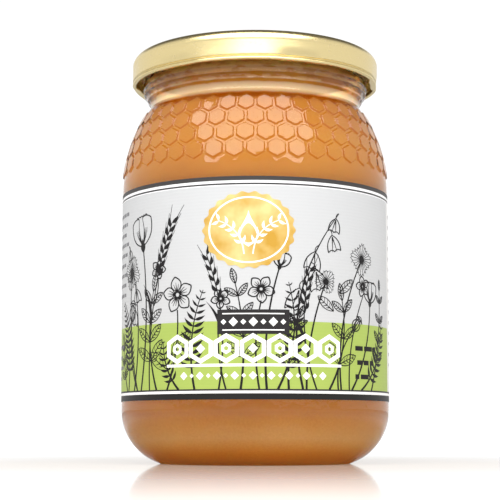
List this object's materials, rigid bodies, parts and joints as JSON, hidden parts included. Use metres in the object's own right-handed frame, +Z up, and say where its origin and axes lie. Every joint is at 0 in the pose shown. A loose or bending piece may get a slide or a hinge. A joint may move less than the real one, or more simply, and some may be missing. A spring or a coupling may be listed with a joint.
{
  "type": "honey jar",
  "caption": "Round glass jar of creamed honey with a honeycomb relief on its shoulder, a paper label and a gold twist-off lid.",
  "frame": {"origin": "centre of the jar's foot, on the surface that it stands on", "axes": "+Z up along the jar's axis, -Y towards the front of the label, +X to the right seen from the front"},
  "size_m": [0.0788, 0.0788, 0.1201],
  "materials": {
    "glass": "clear pressed flint glass, polished, with a honeycomb relief",
    "honey": "creamed honey, set and opaque, orange tan",
    "label": "coated white paper with printed fields of green and black",
    "lid": "gold-lacquered tinplate, bright and smooth"
  },
  "bodies": {
    "root": {"glass_jar": "glass", "honey": "honey", "label": "label", "lid": "lid"}
  },
  "joints": []
}
